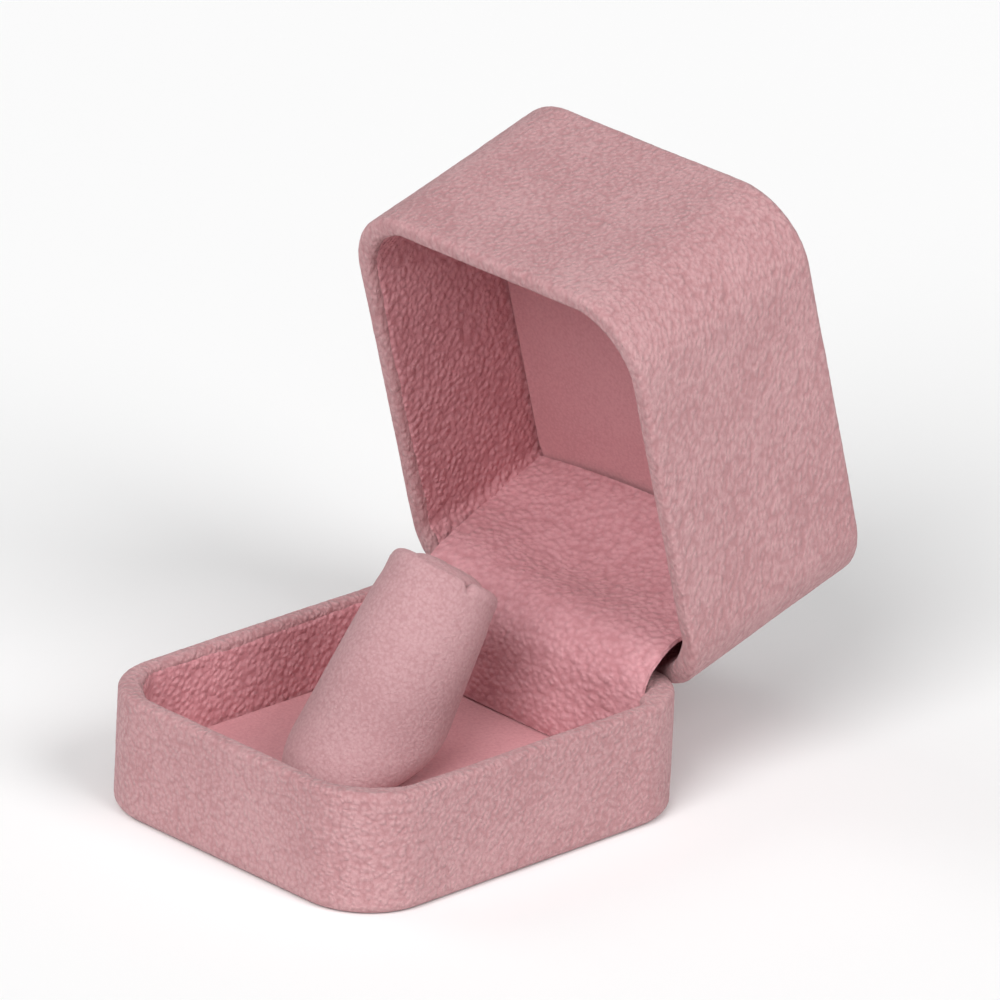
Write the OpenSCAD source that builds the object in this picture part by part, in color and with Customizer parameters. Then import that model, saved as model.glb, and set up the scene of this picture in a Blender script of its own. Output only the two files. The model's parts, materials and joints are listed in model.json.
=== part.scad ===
// Clam-shell ring box: a shallow base and a deep lid, both moulded shells
// wrapped in soft cloth, joined by a small sprung steel hinge that a cloth
// strip hides, with a padded finger that leans back and holds the ring.
// Millimetres. The origin is the centre of the underside of the base, +Z is up,
// +X runs along the hinge and -Y is the opening side. The lid stands open.

/* [Box] */
// Outside width, along the hinge
box_w = 55; // [52:0.5:60]
// Outside depth, front to back
box_d = 63.8; // [62:0.2:68]
// Plan radius of the four upright corners
corner_r = 10.8; // [10:0.2:12]
// Height of the base, to the top of its rim
base_h = 17.6; // [17:0.2:19]
// Height of the lid, from its rim to its roof
lid_h = 33; // [32:0.5:36]
// Gap between the two rims when the box is shut
rim_gap = 0.3; // [0.2:0.1:0.4]

/* [Walls] */
// Thickness of the cloth cover and of the cloth lining
cloth_t = 0.6; // [0.5:0.05:0.7]
// Wall thickness of the two moulded shells
shell_t = 1.3; // [1.2:0.1:1.4]
// Radius of the edge between the base's walls and its underside
base_edge_r = 1.7; // [1.5:0.1:1.8]
// Radius of the edge between the lid's walls and its roof
lid_edge_r = 1.2; // [1.0:0.1:1.5]

/* [Hinge] */
// How far the lid swings from shut to its stop
open_angle = 73.2; // [70:0.2:73.2]
// Distance of the hinge pin from the outside of the rear wall
pin_in = 2.27; // [2.2:0.01:2.35]
// Distance of the hinge pin below the rim of the base
pin_drop = 1; // [0.95:0.01:1.05]
// Radius of the hinge pin
pin_r = 0.4; // [0.35:0.01:0.42]
// Width of the base leaf of the hinge
leaf_w = 33; // [33:0.1:33.4]
// Radius of the rivets
rivet_r = 0.8; // [0.7:0.05:0.9]

/* [Padding] */
// Height of the top of the base insert above the table
pad_z = 6.2; // [6:0.1:6.6]
// Depth of the lid's pad below the lid's rim
lid_pad_d = 22.4; // [21:0.2:23]
// Width of the strip that hides the hinge
strip_w = 44.8; // [42:0.2:45]
// Thickness of the strip
strip_t = 0.7; // [0.6:0.05:0.8]

/* [Finger] */
// Radius of the finger where its axis meets the insert
finger_r1 = 10; // [9:0.2:10.4]
// Radius of the finger at its top
finger_r2 = 7.9; // [7:0.1:8.2]
// Length of the finger along its axis, above the insert
finger_len = 30.5; // [26:0.5:31]
// How far the finger leans back from upright
finger_lean = 33.4; // [28:0.2:34]
// Where the finger's axis meets the insert, front to back
finger_y = -8.1; // [-9:0.1:-7]

/* [Hidden] */
$fn = 64;

rear_y   = box_d/2;
wall_t   = 2*cloth_t + shell_t;          // cloth, shell, cloth
floor_t  = cloth_t + shell_t;
turn_in  = 1.5;                          // how far the cover turns in over a rim
hem      = 3.4;                          // how far the cover turns under the base
pin_y    = rear_y - pin_in;
pin_z    = base_h - pin_drop;
lid_z    = base_h + rim_gap;             // rim of the shut lid
lid_top  = lid_z + lid_h;
relief_a = 11.3;                         // slope of the lid's rear rim, clear of the base
lid_rim_off  = 1.8;                      // pin axis to the relieved rim of the lid
base_rim_off = 1.55;                     // pin axis to the bevelled rim of the base
knuckle_r = 0.8;
knuckle_gap = 0.15;
bay_w    = leaf_w + 1.2;                 // room for the hinge in the rear walls
bay_y    = rear_y - 7.5;                 // rear edge of both pads
fit_gap  = 0.1;                          // room round the padded inserts
wrap_t   = 0.5;                          // cloth on the padded inserts
leaf_t   = 0.6;
leaf_y   = rear_y - floor_t - leaf_t;    // front face of the leaves, on the shells
barrel   = 5.4;                          // length of each knuckle of the base leaf
half_w   = 60;

cover_col  = "#c8979b";
lining_col = "#b87078";
pad_col    = "#c98a90";
shell_col  = "#e6e0d8";
card_col   = "#c9b79c";
foam_col   = "#efe9df";
steel_col  = "#b4b6ba";

// ---- helpers ----------------------------------------------------------

// rounded rectangle
module rr(w, d, r) {
  square([w - 2*r, d], center = true);
  square([w, d - 2*r], center = true);
  for (sx = [-1, 1], sy = [-1, 1])
    translate([sx*(w/2 - r), sy*(d/2 - r)]) circle(r = r);
}

// inside outline of the box, inset i from the outside, cut straight at the back
module inside(i, back) {
  intersection() {
    rr(box_w - 2*i, box_d - 2*i, corner_r - i);
    translate([-half_w, back - 2*half_w]) square([2*half_w, 2*half_w]);
  }
}

// carries a profile (distance in from the outside, height) round the box
module ring() {
  lx = box_w - 2*corner_r;
  ly = box_d - 2*corner_r;
  for (k = [0, 1]) rotate([0, 0, 180*k]) {
    translate([box_w/2, ly/2, 0]) rotate([90, 0, 0]) linear_extrude(ly) mirror([1, 0]) children();
    translate([-lx/2, box_d/2, 0]) rotate([90, 0, 90]) linear_extrude(lx) mirror([1, 0]) children();
    translate([lx/2, ly/2, 0]) rotate_extrude(angle = 90) translate([corner_r, 0]) mirror([1, 0]) children();
    translate([-lx/2, ly/2, 0]) rotate([0, 0, 90]) rotate_extrude(angle = 90) translate([corner_r, 0]) mirror([1, 0]) children();
  }
}

// bent strap of even thickness t through the points p
module strap(p, t) {
  for (i = [0 : len(p) - 2]) {
    v = p[i + 1] - p[i];
    translate(p[i]) rotate(atan2(v[1], v[0])) translate([0, -t/2]) square([norm(v), t]);
  }
  for (q = p) translate(q) circle(r = t/2);
}

// the same as one polygon with mitred corners and square ends, for a long gentle curve
function unit(v) = v/norm(v);
function side(p, i) =
  let (n = len(p) - 1,
       a = unit(i > 0 ? p[i] - p[i - 1] : p[1] - p[0]),
       b = unit(i < n ? p[i + 1] - p[i] : p[n] - p[n - 1]),
       m = unit(a + b))
  [-m[1], m[0]]/(m*a);
function band(p, t) = concat(
  [for (i = [0 : len(p) - 1]) p[i] + side(p, i)*t/2],
  [for (i = [len(p) - 1 : -1 : 0]) p[i] - side(p, i)*t/2]);

// stands a profile (y, z) upright and gives it width w along the hinge
module across(w, at = 0) {
  translate([at - w/2, 0, 0]) rotate([90, 0, 90]) linear_extrude(w) children();
}

// half space past distance off from the pin axis, in direction a above +Y
module past(a, off) {
  translate([0, pin_y, pin_z]) rotate([a, 0, 0]) translate([-half_w, off, -20]) cube([2*half_w, 40, 40]);
}

// slab between two such distances
module between(a, off, t) {
  translate([0, pin_y, pin_z]) rotate([a, 0, 0]) translate([-half_w, off, -8]) cube([2*half_w, t, 16]);
}

module pin_rod(r, w) {
  translate([-w/2, pin_y, pin_z]) rotate([0, 90, 0]) cylinder(r = r, h = w);
}

// turns the shut lid to its open position
module opened() {
  translate([0, pin_y, pin_z]) rotate([-open_angle, 0, 0]) translate([0, -pin_y, -pin_z]) children();
}

// a lid is a deep base turned over
module as_lid() {
  translate([0, 0, lid_top]) mirror([0, 0, 1]) children();
}

// a point given from the rear face (in) and the lid's rim (d), with the lid open
function lid_pt(in, d) =
  let (y = rear_y - in - pin_y, z = lid_z + d - pin_z, c = cos(open_angle), s = sin(open_angle))
  [pin_y + c*y + s*z, pin_z - s*y + c*z];

// ---- wall profiles, (distance in, height), rim at height h -------------

module cover_profile(h, f) {
  difference() {
    union() {
      translate([wall_t/2, h - wall_t/2]) circle(r = wall_t/2);
      translate([0, f]) square([wall_t, h - wall_t/2 - f]);
      translate([f, f]) circle(r = f);
      translate([f, 0]) square([hem - f, f]);
    }
    translate([wall_t/2, h - wall_t/2]) circle(r = shell_t/2);
    translate([cloth_t, f]) square([shell_t, h - wall_t/2 - f]);
    translate([f, f]) circle(r = f - cloth_t);
    translate([f, cloth_t]) square([hem, h - turn_in - cloth_t]);
    translate([floor_t, cloth_t]) square([hem, h - turn_in - cloth_t]);
  }
}

module rim_profile(h) {
  translate([wall_t/2, h - wall_t/2]) circle(r = wall_t/2);
  translate([0, h - 5]) square([wall_t, 5 - wall_t/2]);
}

module shell_profile(h, f) {
  difference() {
    union() {
      translate([wall_t/2, h - wall_t/2]) circle(r = shell_t/2);
      translate([cloth_t, f]) square([shell_t, h - wall_t/2 - f]);
      translate([f, f]) circle(r = f - cloth_t);
      translate([f, cloth_t]) square([4, shell_t]);
    }
    translate([floor_t, floor_t]) square([10, h - floor_t - wall_t]);
  }
}

module shell_body(h, f) {
  ring() shell_profile(h, f);
  translate([0, 0, cloth_t]) linear_extrude(shell_t) rr(box_w - 8, box_d - 8, corner_r - 4);
}

// rivets along the rear wall at the given (x, z) places
module rivets(places, r) {
  for (p = places) translate([p[0], leaf_y, p[1]]) rotate([-90, 0, 0]) cylinder(r = r, h = leaf_t + shell_t);
}

base_rivet_places = [[-14, 7.5], [14, 7.5], [-14, 12], [14, 12]];
spring_rivet_place = [0, 6.2];
lid_rivet_places = [[-9, lid_z + 6], [9, lid_z + 6], [-9, lid_z + 11], [9, lid_z + 11]];

// ---- base ---------------------------------------------------------------

module base_shell() {
  color(shell_col) difference() {
    shell_body(base_h, base_edge_r);
    translate([-bay_w/2, bay_y, pin_z - 1.2]) cube([bay_w, 20, 10]);
    past(90 + relief_a - open_angle, base_rim_off - cloth_t);
    rivets(base_rivet_places, rivet_r + 0.05);
    rivets([spring_rivet_place], rivet_r + 0.05);
  }
}

module base_cover() {
  a = 90 + relief_a - open_angle;
  color(cover_col) difference() {
    union() {
      ring() cover_profile(base_h, base_edge_r);
      intersection() {
        ring() rim_profile(base_h);
        between(a, base_rim_off - cloth_t, cloth_t + 2);
      }
    }
    past(a, base_rim_off);
    pin_rod(knuckle_r + knuckle_gap, bay_w);
    translate([-bay_w/2, bay_y, pin_z - 1.6]) cube([bay_w, rear_y - floor_t + 0.05 - bay_y, 6]);
    translate([-bay_w/2, bay_y, pin_z]) cube([bay_w, pin_y + 0.7 - bay_y, 6]);
  }
}

module base_bottom_panel() {
  color(card_col) linear_extrude(cloth_t) rr(box_w - 2*hem - 0.4, box_d - 2*hem - 0.4, corner_r - hem);
}

module base_lining() {
  color(lining_col) difference() {
    translate([0, 0, floor_t]) linear_extrude(base_h - turn_in - floor_t) difference() {
      rr(box_w - 2*floor_t, box_d - 2*floor_t, corner_r - floor_t);
      rr(box_w - 2*wall_t, box_d - 2*wall_t, corner_r - wall_t);
    }
    translate([-bay_w/2 - 1, bay_y, 0]) cube([bay_w + 2, 20, 40]);
  }
}

// ---- insert ---------------------------------------------------------------

// frame of the finger: its axis along +Z from the insert's surface
module on_finger() {
  translate([0, finger_y, pad_z]) rotate([-finger_lean, 0, 0]) children();
}

finger_k = (finger_r1 - finger_r2)/finger_len;   // taper
finger_below = 12;                               // run of the cone below the insert

// cone of the finger, taken in by i, up to length l
module finger_cone(i, l) {
  on_finger() translate([0, 0, -finger_below])
    cylinder(r1 = finger_r1 + finger_k*finger_below - i, r2 = finger_r1 - finger_k*l - i, h = l + finger_below);
}

module below_board() {
  translate([-half_w, -half_w, floor_t + 1 - 40]) cube([2*half_w, 2*half_w, 40]);
}

module insert_board() {
  color(card_col) translate([0, 0, floor_t]) linear_extrude(1) inside(wall_t + fit_gap + wrap_t, bay_y - wrap_t);
}

module insert_foam() {
  color(foam_col) difference() {
    translate([0, 0, floor_t + 1]) linear_extrude(pad_z - cloth_t - floor_t - 1) inside(wall_t + fit_gap + wrap_t, bay_y - wrap_t);
    finger_cone(-0.1, 10);
  }
}

module insert_cover() {
  color(pad_col) difference() {
    translate([0, 0, floor_t]) linear_extrude(pad_z - floor_t) inside(wall_t + fit_gap, bay_y);
    translate([0, 0, floor_t - 1]) linear_extrude(pad_z - cloth_t - floor_t + 1) inside(wall_t + fit_gap + wrap_t, bay_y - wrap_t);
    finger_cone(-0.1, 10);
  }
}

module finger_core() {
  color(foam_col) difference() {
    finger_cone(0.75, finger_len - 1.2);
    below_board();
  }
}

module finger_cover() {
  color(pad_col) difference() {
    finger_cone(0, finger_len);
    finger_cone(0.7, finger_len);
    on_finger() translate([0, 0, finger_len - 0.01]) cylinder(r = 20, h = 2);
    below_board();
  }
}

module finger_cap() {
  color(pad_col) on_finger() translate([0, 0, finger_len - 1.15]) cylinder(r = finger_r2 - 0.78, h = 1.05);
}

// ---- hinge ------------------------------------------------------------------

cam_flat = 1.3;     // pin axis to the two flats that the spring rests on
lid_leaf_w = 28;
arm_w = 5.9;        // width of each bent arm of the lid leaf
arm_x = 7.9;        // middle of each arm

module hinge_base_leaf() {
  top = pin_z - 2.1;
  color(steel_col) difference() {
    union() {
      translate([-leaf_w/2, leaf_y, 4]) cube([leaf_w, leaf_t, top - 4]);
      for (s = [-1, 1]) translate([s*(leaf_w/2 - barrel/2) - barrel/2, leaf_y, top - 1]) cube([barrel, leaf_t, pin_z - top + 1]);
      for (s = [-1, 1]) translate([s*(leaf_w/2 - barrel/2), 0, 0]) pin_rod(knuckle_r, barrel);
    }
    pin_rod(pin_r + 0.03, leaf_w + 2);
    rivets(base_rivet_places, rivet_r + 0.05);
    rivets([spring_rivet_place], rivet_r + 0.05);
  }
}

module hinge_base_rivets() {
  color(steel_col) {
    for (p = base_rivet_places) translate([p[0], leaf_y, p[1]]) rotate([-90, 0, 0]) {
      cylinder(r = rivet_r, h = leaf_t + shell_t);
      translate([0, 0, -0.5]) cylinder(r = 1.5, h = 0.5);
    }
    translate([spring_rivet_place[0], leaf_y - 0.4, spring_rivet_place[1]]) rotate([-90, 0, 0]) {
      cylinder(r = rivet_r, h = leaf_t + shell_t + 0.4);
      translate([0, 0, -0.5]) cylinder(r = 1.5, h = 0.5);
    }
  }
}

module hinge_pin() {
  color(steel_col) pin_rod(pin_r, leaf_w + 0.6);
}

// leaf spring: riveted low on the base leaf, its free end lies on a flat of the cam
module hinge_spring() {
  x = leaf_y - 0.2;
  tip = pin_y - cam_flat - 0.03 - 0.2;
  color("#8f9398") difference() {
    across(6.6) strap([[x, 4.6], [x, 8.4], [tip, pin_z - 4], [tip, pin_z + 0.6]], 0.4);
    translate([spring_rivet_place[0], leaf_y - 5, spring_rivet_place[1]]) rotate([-90, 0, 0]) cylinder(r = rivet_r + 0.05, h = 10);
  }
}

// cross-section of the cam, shut, about the pin axis: two flats open_angle apart
module cam_profile() {
  intersection() {
    circle(r = 1.6);
    translate([-cam_flat, -10]) square([20, 20]);
    rotate(open_angle) translate([-cam_flat, -10]) square([20, 20]);
    polygon([[0, 0], [-3, 1.6], [-4, -1], [-3, -4], [0.4, -4]]);
  }
  circle(r = knuckle_r);
}

module hinge_lid_leaf() {
  y0 = leaf_y + leaf_t/2 - pin_y;     // middle of the flat leaf, from the pin
  arm = [[0, 0], [-1.4, 0.2], [-0.95, 1.7], [y0, 3.3], [y0, 4.6]];
  color(steel_col) opened() difference() {
    union() {
      translate([-lid_leaf_w/2, leaf_y, pin_z + 4.2]) cube([lid_leaf_w, leaf_t, 11]);
      for (s = [-1, 1]) across(arm_w, s*arm_x) translate([pin_y, pin_z]) strap(arm, 0.5);
      pin_rod(knuckle_r, 2*(arm_x + arm_w/2));
      across(7) translate([pin_y, pin_z]) cam_profile();
    }
    pin_rod(pin_r + 0.03, leaf_w + 2);
    rivets(lid_rivet_places, rivet_r + 0.05);
  }
}

module hinge_lid_rivets() {
  color(steel_col) opened() for (p = lid_rivet_places) translate([p[0], leaf_y, p[1]]) rotate([-90, 0, 0]) {
    cylinder(r = rivet_r, h = leaf_t + shell_t);
    translate([0, 0, -0.5]) cylinder(r = 1.5, h = 0.5);
  }
}

// cloth strip over the hinge, from the base insert up to the lid's pad
module hinge_strip() {
  path = [
    [rear_y - 8.6, pad_z + 0.05], [rear_y - 8.3, base_h - 6.6], [rear_y - 8.1, base_h - 3.1],
    [rear_y - 7.7, base_h - 0.8], [rear_y - 7, base_h + 0.7], [rear_y - 6, base_h + 2],
    [rear_y - 4.8, base_h + 3.1], [rear_y - 3.5, base_h + 4.2],
    lid_pt(8.1, 1.3), lid_pt(8.2, 5.6), lid_pt(8.3, 11.9), lid_pt(9.2, lid_pad_d - 5.7), lid_pt(10.3, lid_pad_d - 0.15)
  ];
  color(lining_col) across(strip_w) polygon(band(path, strip_t));
}

// ---- lid, made shut and then turned open --------------------------------------

module lid_shell() {
  color(shell_col) opened() difference() {
    as_lid() shell_body(lid_h, lid_edge_r);
    translate([0, 0, 0]) difference() {
      translate([-half_w, -half_w, lid_z - 5]) cube([2*half_w, 2*half_w, 12]);
      past(90 + relief_a, lid_rim_off + cloth_t);
    }
    rivets(lid_rivet_places, rivet_r + 0.05);
  }
}

module lid_cover() {
  a = 90 + relief_a;
  color(cover_col) opened() difference() {
    union() {
      as_lid() ring() cover_profile(lid_h, lid_edge_r);
      as_lid() linear_extrude(cloth_t) rr(box_w - 2*hem + 1, box_d - 2*hem + 1, corner_r - hem + 0.5);
      intersection() {
        as_lid() ring() rim_profile(lid_h);
        between(a, lid_rim_off - 2, cloth_t + 2);
      }
    }
    translate([0, pin_y, pin_z]) rotate([a, 0, 0]) translate([-half_w, lid_rim_off - 10, -20]) cube([2*half_w, 10, 40]);
    translate([-lid_leaf_w/2 - 0.3, bay_y, lid_z - 2]) cube([lid_leaf_w + 0.6, rear_y - floor_t + 0.05 - bay_y, 6]);
  }
}

module lid_lining() {
  color(lining_col) opened() difference() {
    translate([0, 0, lid_z + turn_in]) linear_extrude(lid_h - turn_in - floor_t) difference() {
      rr(box_w - 2*floor_t, box_d - 2*floor_t, corner_r - floor_t);
      rr(box_w - 2*wall_t, box_d - 2*wall_t, corner_r - wall_t);
    }
    translate([-bay_w/2 - 1, bay_y, 0]) cube([bay_w + 2, 20, 80]);
    translate([-half_w, rear_y - 6, lid_z]) cube([2*half_w, 20, 2.6]);
  }
}

lid_pad_z = lid_z + lid_pad_d;
pad_stack = 3.6;     // cloth, foam and board of the lid's pad

module lid_filler() {
  color(foam_col) opened() translate([0, (bay_y - rear_y + wall_t)/2, lid_pad_z + pad_stack])
    linear_extrude(lid_top - floor_t - lid_pad_z - pad_stack) rr(32, 38, 3);
}

module lid_pad_board() {
  color(card_col) opened() translate([0, 0, lid_pad_z + pad_stack - 1]) linear_extrude(1) inside(wall_t + fit_gap + wrap_t, bay_y - wrap_t);
}

module lid_pad_foam() {
  color(foam_col) opened() translate([0, 0, lid_pad_z + cloth_t]) linear_extrude(pad_stack - 1 - cloth_t) inside(wall_t + fit_gap + wrap_t, bay_y - wrap_t);
}

module lid_pad_cover() {
  color(pad_col) opened() difference() {
    translate([0, 0, lid_pad_z]) linear_extrude(pad_stack) inside(wall_t + fit_gap, bay_y);
    translate([0, 0, lid_pad_z + cloth_t]) linear_extrude(pad_stack) inside(wall_t + fit_gap + wrap_t, bay_y - wrap_t);
  }
}

base_shell();
base_cover();
base_bottom_panel();
base_lining();
insert_board();
insert_foam();
insert_cover();
finger_core();
finger_cover();
finger_cap();
hinge_base_leaf();
hinge_base_rivets();
hinge_pin();
hinge_spring();
hinge_strip();
hinge_lid_leaf();
hinge_lid_rivets();
lid_shell();
lid_cover();
lid_lining();
lid_filler();
lid_pad_board();
lid_pad_foam();
lid_pad_cover();
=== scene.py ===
import json
import math

import bpy
import numpy as np
from mathutils import Matrix, Vector


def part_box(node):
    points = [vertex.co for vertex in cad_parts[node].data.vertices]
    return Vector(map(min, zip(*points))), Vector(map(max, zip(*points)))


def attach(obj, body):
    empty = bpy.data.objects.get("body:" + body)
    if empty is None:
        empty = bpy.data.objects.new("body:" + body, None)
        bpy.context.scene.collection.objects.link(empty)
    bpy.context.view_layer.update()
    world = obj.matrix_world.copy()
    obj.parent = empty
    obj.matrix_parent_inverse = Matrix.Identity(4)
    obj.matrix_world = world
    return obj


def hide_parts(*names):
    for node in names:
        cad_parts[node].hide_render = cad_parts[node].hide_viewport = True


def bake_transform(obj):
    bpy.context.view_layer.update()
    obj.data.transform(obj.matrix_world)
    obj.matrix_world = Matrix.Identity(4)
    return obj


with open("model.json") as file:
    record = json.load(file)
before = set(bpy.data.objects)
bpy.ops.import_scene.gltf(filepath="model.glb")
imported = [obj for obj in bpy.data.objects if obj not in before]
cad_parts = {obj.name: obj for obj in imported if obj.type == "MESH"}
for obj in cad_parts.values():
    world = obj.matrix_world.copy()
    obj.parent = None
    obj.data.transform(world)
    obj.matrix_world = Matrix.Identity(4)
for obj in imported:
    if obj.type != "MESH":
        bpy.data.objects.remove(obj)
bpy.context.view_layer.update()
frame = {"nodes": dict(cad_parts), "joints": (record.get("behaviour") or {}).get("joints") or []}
NODES = frame["nodes"]
MM = 0.001

# ------------------------------------------------------------------ sizes, mm, as in the CAD
lo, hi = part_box("base_cover")
W = (hi.x - lo.x) / MM
D = (hi.y - lo.y) / MM
HB = hi.z / MM
R = 10.8
CLOTH, SHELL = 0.6, 1.3
WALL = 2 * CLOTH + SHELL
GAP = 0.3
HL = 33.0
LID_Z = HB + GAP
LID_TOP = LID_Z + HL
BASE_EDGE, LID_EDGE = 1.7, 1.2
HEM = 3.5
joint = frame["joints"][0]
PIN_Y, PIN_Z = joint["pos_m"][1] / MM, joint["pos_m"][2] / MM
OPEN = math.radians(max(abs(a) for a in joint["range_deg"]))
CO, SO = math.cos(OPEN), math.sin(OPEN)
PAD_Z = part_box("insert_cover")[1].z / MM
LID_PAD = LID_Z + 22.4
BAY_Y = D / 2 - 7.5
LEAN = math.radians(33.4)
F_Y, F_R1, F_R2, F_L = -8.1, 10.0, 7.9, 30.5


def opened(p):
    """shut lid coordinates (mm) to the open pose"""
    p = np.array(p, float)
    y, z = p[..., 1] - PIN_Y, p[..., 2] - PIN_Z
    q = p.copy()
    q[..., 1] = PIN_Y + CO * y + SO * z
    q[..., 2] = PIN_Z - SO * y + CO * z
    return q


# ------------------------------------------------------------------ camera, lights, floor
def look(az, el, roll, dist, f_px, aim, cx, cy):
    a, e, r = math.radians(az), math.radians(el), math.radians(roll)
    back = np.array([math.sin(a) * math.cos(e), -math.cos(a) * math.cos(e), math.sin(e)])
    right = np.array([math.cos(a), math.sin(a), 0.0])
    up = np.cross(back, right)
    right2 = math.cos(r) * right + math.sin(r) * up
    up2 = -math.sin(r) * right + math.cos(r) * up
    c = np.array(aim) + back * dist
    # turn the camera about its own centre until the middle of the picture is on its axis
    fwd = right2 * (500 - cx) / f_px + up2 * (cy - 500) / f_px - back
    fwd /= np.linalg.norm(fwd)
    x = right2 - fwd * right2.dot(fwd)
    x /= np.linalg.norm(x)
    y = np.cross(-fwd, x)
    return c, x, y, -fwd


def make_camera():
    c, x, y, z = look(45.2855, 23.3149, 2.5245, 1671.464, 12396.25, (0, 0, 17.5894), 396.92, 684.24)
    data = bpy.data.cameras.new("camera")
    cam = bpy.data.objects.new("camera", data)
    bpy.context.scene.collection.objects.link(cam)
    data.sensor_fit = "HORIZONTAL"
    data.sensor_width = 36.0
    data.lens = 12396.25 * 36.0 / 1000.0
    data.clip_start, data.clip_end = 0.05, 30.0
    m = Matrix.Identity(4)
    for i in range(3):
        m[i][0], m[i][1], m[i][2], m[i][3] = x[i], y[i], z[i], c[i] * MM
    cam.matrix_world = m
    bpy.context.scene.camera = cam
    return cam


make_camera()


def soft_light(name, az, el, strength, spread, colour=(1, 1, 1)):
    """a wide far-off softbox: az from the front towards +X, el above the table, degrees"""
    a, e = math.radians(az), math.radians(el)
    data = bpy.data.lights.new(name, "SUN")
    data.energy = strength
    data.angle = math.radians(spread)
    data.color = colour
    o = bpy.data.objects.new(name, data)
    bpy.context.scene.collection.objects.link(o)
    d = Vector((math.sin(a) * math.cos(e), -math.cos(a) * math.cos(e), math.sin(e)))
    o.matrix_world = Matrix.Translation(d) @ d.to_track_quat("Z", "Y").to_matrix().to_4x4()
    return o


def make_stage():
    world = bpy.data.worlds.new("studio")
    bpy.context.scene.world = world
    world.use_nodes = True
    world.node_tree.nodes["Background"].inputs["Color"].default_value = (1, 1, 1, 1)
    world.node_tree.nodes["Background"].inputs["Strength"].default_value = 0.135
    bpy.context.scene.view_settings.view_transform = "Standard"
    soft_light("key", 20, 38, 2.07, 34)
    soft_light("side", 90, 38, 1.52, 34)
    soft_light("fill", -60, 38, 0.40, 34)
    soft_light("top", 45, 66, 0.35, 34)
    s = 6.0
    me = bpy.data.meshes.new("floor")
    me.from_pydata([(-s, -s, 0), (s, -s, 0), (s, s, 0), (-s, s, 0)], [], [(0, 1, 2, 3)])
    floor = bpy.data.objects.new("floor", me)
    bpy.context.scene.collection.objects.link(floor)
    mat = bpy.data.materials.new("floor_paper")
    mat.use_nodes = True
    nt = mat.node_tree
    b = nt.nodes["Principled BSDF"]
    b.inputs["Roughness"].default_value = 0.9
    b.inputs["Specular IOR Level"].default_value = 0.1
    n = nt.nodes.new("ShaderNodeTexNoise")
    n.inputs["Scale"].default_value = 60.0
    r = nt.nodes.new("ShaderNodeValToRGB")
    r.color_ramp.elements[0].color = (0.94, 0.94, 0.94, 1)
    r.color_ramp.elements[1].color = (0.97, 0.97, 0.97, 1)
    nt.links.new(n.outputs["Fac"], r.inputs["Fac"])
    nt.links.new(r.outputs["Color"], b.inputs["Base Color"])
    me.materials.append(mat)


make_stage()


# ------------------------------------------------------------------ smooth random field
_rng = np.random.RandomState(11)
_PERM = np.tile(_rng.permutation(256), 3)
_GRAD = _rng.normal(size=(256, 3))
_GRAD /= np.linalg.norm(_GRAD, axis=1)[:, None]


def perlin(p):
    p = np.asarray(p, float)
    i = np.floor(p).astype(np.int64)
    f = p - i
    i &= 255
    w = f * f * f * (f * (f * 6 - 15) + 10)
    out = np.zeros(len(p))
    for dx in (0, 1):
        wx = w[:, 0] if dx else 1 - w[:, 0]
        hx = _PERM[(i[:, 0] + dx) & 255]
        for dy in (0, 1):
            wy = w[:, 1] if dy else 1 - w[:, 1]
            hy = _PERM[hx + ((i[:, 1] + dy) & 255)]
            for dz in (0, 1):
                wz = w[:, 2] if dz else 1 - w[:, 2]
                g = _GRAD[_PERM[hy + ((i[:, 2] + dz) & 255)]]
                out += wx * wy * wz * ((f - (dx, dy, dz)) * g).sum(1)
    return out


def pebble(p, size):
    """soft bumps with narrow creases between them, about -1 to 1"""
    q = np.asarray(p) / size
    warp = np.stack([perlin(q * 0.6 + 31.7), perlin(q * 0.6 + 57.3), perlin(q * 0.6 + 83.9)], 1)
    a = np.abs(perlin(q + warp * 0.9))
    b = np.abs(perlin(q * 1.9 + 17.1))
    return np.clip(a * 3.2 + b * 1.1, 0, 1.6) - 0.85


# ------------------------------------------------------------------ mesh helpers
MADE = []


def new_object(name, verts, faces, body_open=False, smooth=True):
    v = np.asarray(verts, float)
    if body_open:
        v = opened(v)
    me = bpy.data.meshes.new(name)
    me.from_pydata((v * MM).tolist(), [], faces)
    me.update()
    if smooth:
        me.polygons.foreach_set("use_smooth", [True] * len(me.polygons))
    o = bpy.data.objects.new(name, me)
    bpy.context.scene.collection.objects.link(o)
    MADE.append(o)
    return o


def grid(n, m, wrap_n=False, wrap_m=False):
    """quads between n stations of m points, numbered station by station"""
    faces = []
    for i in range(n if wrap_n else n - 1):
        a, b = i * m, ((i + 1) % n) * m
        for j in range(m if wrap_m else m - 1):
            k = (j + 1) % m
            faces.append((a + j, b + j, b + k, a + k))
    return faces


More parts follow.
